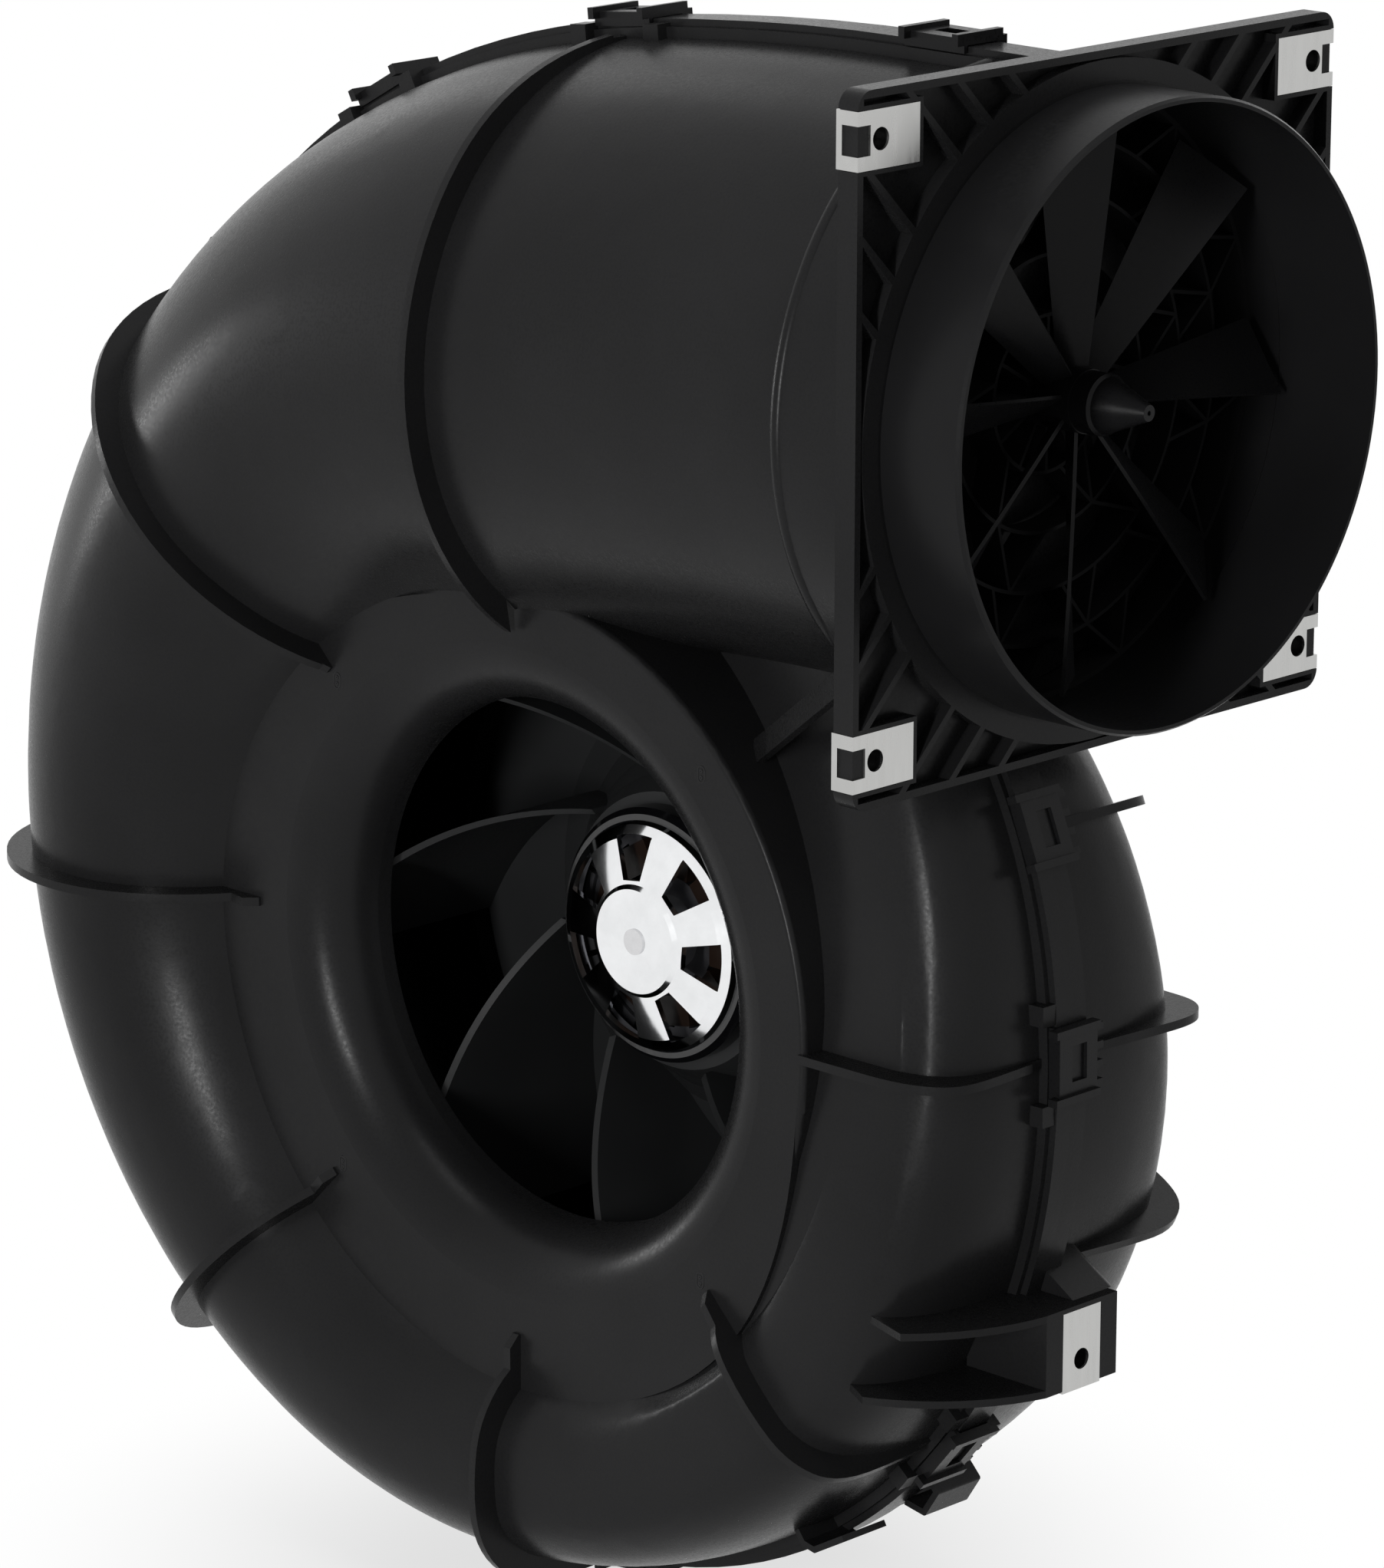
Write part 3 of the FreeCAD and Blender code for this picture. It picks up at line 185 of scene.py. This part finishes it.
def make_materials():
    moulded = plastic("moulded_black", (0.0125, 0.0125, 0.0129), 0.28, specular=0.09)
    dress(moulded, "casing_front", "casing_rear")
    dress(plastic("collar_black", (0.0085, 0.0085, 0.0089), 0.34, specular=0.09), "outlet_collar")
    dress(plastic("grid_black", (0.0075, 0.0075, 0.0078), 0.6, specular=0.06), "flow_grid")
    dress(plastic("wheel_black", (0.009, 0.009, 0.0095), 0.3, 1400.0, 0.00003, specular=0.1),
          "anemometer_wheel", "nose_cone")
    dress(plastic("impeller_black", (0.017, 0.0175, 0.018), 0.34, 1100.0, 0.00004, specular=0.14),
          "impeller_hub", "impeller_blades", "impeller_shroud")
    dress(plastic("rotor_gloss", (0.003, 0.003, 0.0035), 0.12, 500.0, 0.00002, specular=0.6),
          "rotor_shell")
    dress(plastic("clip_black", (0.008, 0.008, 0.0084), 0.3, specular=0.12), "seam_clips")
    dress(plastic("cover_black", (0.006, 0.006, 0.0065), 0.45, 700.0, 0.0001), "electronics_cover")
    dress(plastic("gland_black", (0.005, 0.005, 0.0055), 0.38), "cable_gland")
    dress(plastic("can_black", (0.008, 0.008, 0.014), 0.25), "capacitors")
    dress(plastic("board_green", (0.01, 0.07, 0.03), 0.35, 300.0), "circuit_board")
    dress(plastic("ferrite", (0.02, 0.02, 0.022), 0.6), "rotor_magnets")
    dress(metal("cap_chrome", (0.86, 0.87, 0.88), 0.08, 90.0, spread=0.03), "rotor_cap")
    dress(metal("shaft_steel", (0.72, 0.72, 0.73), 0.22, 400.0), "motor_shaft", "anemometer_axle")
    nut_steel = metal("nut_steel", (0.52, 0.52, 0.51), 0.3, 120.0, (0.3, 3.0, 0.3), 0.08)
    dress(nut_steel, "spring_nuts")
    dress(metal("screw_zinc", (0.66, 0.67, 0.69), 0.3, 200.0), "motor_screws", "cover_screws")
    dress(metal("cast_aluminium", (0.56, 0.57, 0.58), 0.5, 500.0, spread=0.1),
          "motor_flange", "electronics_housing")
    dress(metal("sheet_stack", (0.12, 0.12, 0.13), 0.5, 900.0, (0.1, 8.0, 0.1)), "stator_core")
    # The stator windings' near-black colour is painted shade inside the motor, seen through the
    # rotor cap's windows, and not their own copper colour.
    dress(plastic("windings_painted_shade", (0.012, 0.007, 0.005), 0.35, 300.0, 0.0002), "stator_windings")
    dress(metal("bearing_steel", (0.75, 0.75, 0.76), 0.15, 200.0), "shaft_bearings")
    return moulded


def smooth_nodes():
    for node in nodes.values():
        mesh = node.data
        mesh.polygons.foreach_set("use_smooth", [True] * len(mesh.polygons))
        mesh.update()
        modifier = node.modifiers.new("soft_edges", "EDGE_SPLIT")
        modifier.split_angle = math.radians(28.0)


def is_seen(tree):
    """1 for rays that show the background: to the camera, in gloss or through glass."""
    paths = tree.nodes.new("ShaderNodeLightPath")
    seen = paths.outputs["Is Camera Ray"]
    for ray in ("Is Glossy Ray", "Is Transmission Ray"):
        either = tree.nodes.new("ShaderNodeMath")
        either.operation = "MAXIMUM"
        tree.links.new(seen, either.inputs[0])
        tree.links.new(paths.outputs[ray], either.inputs[1])
        seen = either.outputs["Value"]
    return seen


def far_from_part(made):
    """Share of plain white on the floor: least under the part, all of it further out."""
    centre = made.tree.nodes.new("ShaderNodeVectorMath")
    centre.operation = "DISTANCE"
    centre.inputs[1].default_value = floor_middle
    made.tree.links.new(made.place, centre.inputs[0])
    spread = made.tree.nodes.new("ShaderNodeMapRange")
    spread.interpolation_type = "SMOOTHSTEP"
    spread.inputs["From Min"].default_value = floor_fade[0]
    spread.inputs["From Max"].default_value = floor_fade[1]
    spread.inputs["To Min"].default_value = least_white
    made.tree.links.new(centre.outputs["Value"], spread.inputs["Value"])
    return spread.outputs["Result"]


def ring_place(angle, radius, along):
    """Point at a clock angle about the impeller's axis, clockwise seen from the inlet."""
    return impeller_axis + Vector((radius * math.cos(angle), along, -radius * math.sin(angle)))


def slot_outline(centre, length, radius, count=10):
    """Upright slot in the XZ plane: two half circles joined by straight sides."""
    points = []
    for end, first in ((1.0, 0.0), (-1.0, math.pi)):
        for i in range(count + 1):
            turn = first + math.pi * i / count
            height = end * length / 2 + radius * math.sin(turn)
            points.append(centre + Vector((radius * math.cos(turn), 0.0, height)))
    return points


def closed_bead(builder, points, radius, sides=6):
    """Thin round bead swept along a closed outline that lies in the XZ plane."""
    rings = []
    for i, point in enumerate(points):
        along = (points[(i + 1) % len(points)] - points[i - 1]).normalized()
        outward = along.cross(Vector((0.0, 1.0, 0.0)))
        ring = []
        for j in range(sides):
            turn = 2.0 * math.pi * j / sides
            offset = outward * math.cos(turn) + Vector((0.0, math.sin(turn), 0.0))
            ring.append(builder.verts.new(point + offset * radius))
        rings.append(ring)
    for i, ring in enumerate(rings):
        following = rings[(i + 1) % len(rings)]
        for j in range(sides):
            k = (j + 1) % sides
            builder.faces.new((ring[j], ring[k], following[k], following[j]))


def make_mould_marks(material):
    """Four small slot-shaped ejector marks on the flat ring round the inlet."""
    builder = bmesh.new()
    for quarter in range(4):
        centre = ring_place(math.radians(45.0 + 90.0 * quarter), mark_circle, ring_face)
        closed_bead(builder, slot_outline(centre, mark_length, mark_radius), mark_bead)
        for end in (-dot_offset, dot_offset):
            dot = slot_outline(centre + Vector((0.0, 0.0, end)), dot_length, dot_radius)
            closed_bead(builder, dot, dot_bead)
    mesh = bpy.data.meshes.new("mould_marks")
    builder.to_mesh(mesh)
    builder.free()
    marks = bpy.data.objects.new("mould_marks", mesh)
    bpy.context.scene.collection.objects.link(marks)
    mesh.materials.append(material)
    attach(marks, "housing")


def around_outlet(turn, radius, along):
    """Point at an angle from the top about the outlet's axis."""
    return Vector((along, -radius * math.sin(turn), radius * math.cos(turn)))


def make_socket_lip(material):
    """Rounded lip where the flange's socket ends on the duct, open towards the scroll."""
    builder = bmesh.new()
    rings = []
    for i in range(lip_steps + 1):
        turn = math.radians(lip_span * (2.0 * i / lip_steps - 1.0))
        share = min(1.0, (min(i, lip_steps - i) + 1.0) / lip_taper)
        thick = lip_radius * share
        middle = socket_radius - lip_sink - (lip_radius - thick)
        ring = []
        for j in range(lip_sides):
            around = 2.0 * math.pi * j / lip_sides
            radius = middle + thick * math.cos(around)
            along = socket_end + thick * math.sin(around)
            ring.append(builder.verts.new(around_outlet(turn, radius, along)))
        rings.append(ring)
    for ring, following in zip(rings, rings[1:]):
        for j in range(lip_sides):
            k = (j + 1) % lip_sides
            builder.faces.new((ring[j], ring[k], following[k], following[j]))
    builder.faces.new(rings[0])
    builder.faces.new(rings[-1])
    add_piece("socket_lip", builder, material)


def add_piece(name, builder, material):
    """Turn mesh code into one piece of the moulded casing."""
    bmesh.ops.recalc_face_normals(builder, faces=builder.faces[:])
    mesh = bpy.data.meshes.new(name)
    builder.to_mesh(mesh)
    builder.free()
    mesh.polygons.foreach_set("use_smooth", [True] * len(mesh.polygons))
    piece = bpy.data.objects.new(name, mesh)
    bpy.context.scene.collection.objects.link(piece)
    mesh.materials.append(material)
    modifier = piece.modifiers.new("soft_edges", "EDGE_SPLIT")
    modifier.split_angle = math.radians(40.0)
    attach(piece, "housing")


def make_floor():
    """Pale floor: a real surface near the part, plain white further out."""
    lowest = cad_box[0].z
    mesh = bpy.data.meshes.new("floor")
    ends = ((-1, -1), (1, -1), (1, 1), (-1, 1))
    corners = [(x * floor_reach, y * floor_reach, 0) for x, y in ends]
    mesh.from_pydata(corners, [], [(0, 1, 2, 3)])
    floor = bpy.data.objects.new("floor", mesh)
    floor.location.z = lowest - floor_gap
    bpy.context.scene.collection.objects.link(floor)
    made = Nodes("pale_floor")
    cloudy = made.noise(1.5, 2.0)
    made.join(made.ramp(cloudy, ((0.3, floor_dark), (0.7, floor_light))), "Base Color")
    made.shader.inputs["Roughness"].default_value = 0.9
    made.shader.inputs["Specular IOR Level"].default_value = 0.1
    white = made.tree.nodes.new("ShaderNodeEmission")
    share = made.tree.nodes.new("ShaderNodeMath")
    share.operation = "MULTIPLY"
    made.tree.links.new(is_seen(made.tree), share.inputs[0])
    made.tree.links.new(far_from_part(made), share.inputs[1])
    mix = made.tree.nodes.new("ShaderNodeMixShader")
    made.tree.links.new(share.outputs["Value"], mix.inputs["Fac"])
    made.tree.links.new(made.shader.outputs["BSDF"], mix.inputs[1])
    made.tree.links.new(white.outputs["Emission"], mix.inputs[2])
    made.tree.links.new(mix.outputs["Shader"], made.tree.nodes["Material Output"].inputs["Surface"])
    floor.data.materials.append(made.material)


def make_world():
    world = bpy.data.worlds.new("studio")
    bpy.context.scene.world = world
    world.use_nodes = True
    tree = world.node_tree
    tree.nodes.clear()
    soft = tree.nodes.new("ShaderNodeBackground")
    soft.inputs["Color"].default_value = (1.0, 1.0, 1.0, 1.0)
    soft.inputs["Strength"].default_value = soft_light
    white = tree.nodes.new("ShaderNodeBackground")
    white.inputs["Color"].default_value = (1.0, 1.0, 1.0, 1.0)
    white.inputs["Strength"].default_value = 1.0
    mix = tree.nodes.new("ShaderNodeMixShader")
    tree.links.new(is_seen(tree), mix.inputs["Fac"])
    tree.links.new(soft.outputs["Background"], mix.inputs[1])
    tree.links.new(white.outputs["Background"], mix.inputs[2])
    out = tree.nodes.new("ShaderNodeOutputWorld")
    tree.links.new(mix.outputs["Shader"], out.inputs["Surface"])


def area_light(name, place, size, energy):
    light = bpy.data.lights.new(name, "AREA")
    light.shape = "RECTANGLE"
    light.size, light.size_y = size
    light.energy = energy
    lamp = bpy.data.objects.new(name, light)
    bpy.context.scene.collection.objects.link(lamp)
    lamp.location = place
    direction = Vector(lamp_target) - Vector(place)
    lamp.rotation_euler = direction.to_track_quat("-Z", "Y").to_euler()


def make_lights():
    area_light("far_strip", (-2.3, 0.95, 1.2), (0.5, 1.6), 2.0)
    area_light("side_strip", (-2.7, -0.75, -0.1), (0.3, 0.6), 7.0)
    area_light("near_strip", (0.65, -2.5, 0.1), (0.18, 1.0), 42.0)
    area_light("top_panel", (-0.2, -0.2, 2.3), (1.6, 1.6), 24.0)
    area_light("back_fill", (-0.6, 2.9, 0.9), (2.0, 2.0), 12.0)
    area_light("front_fill", (1.6, -2.6, 0.7), (2.0, 2.0), 1.0)


def make_camera():
    camera = bpy.data.cameras.new("camera")
    camera.lens = camera_lens
    camera.sensor_width = 36.0
    camera.clip_end = 100.0
    body = bpy.data.objects.new("camera", camera)
    bpy.context.scene.collection.objects.link(body)
    rotation = Matrix((camera_right, camera_up, camera_back)).transposed()
    body.matrix_world = Matrix.Translation(camera_place) @ rotation.to_4x4()
    bpy.context.scene.camera = body


bpy.context.scene.view_settings.view_transform = "Standard"
moulded_black = make_materials()
smooth_nodes()
make_socket_lip(moulded_black)
make_mould_marks(plastic("mark_black", (0.009, 0.009, 0.0095), 0.4))
make_floor()
make_world()
make_lights()
make_camera()
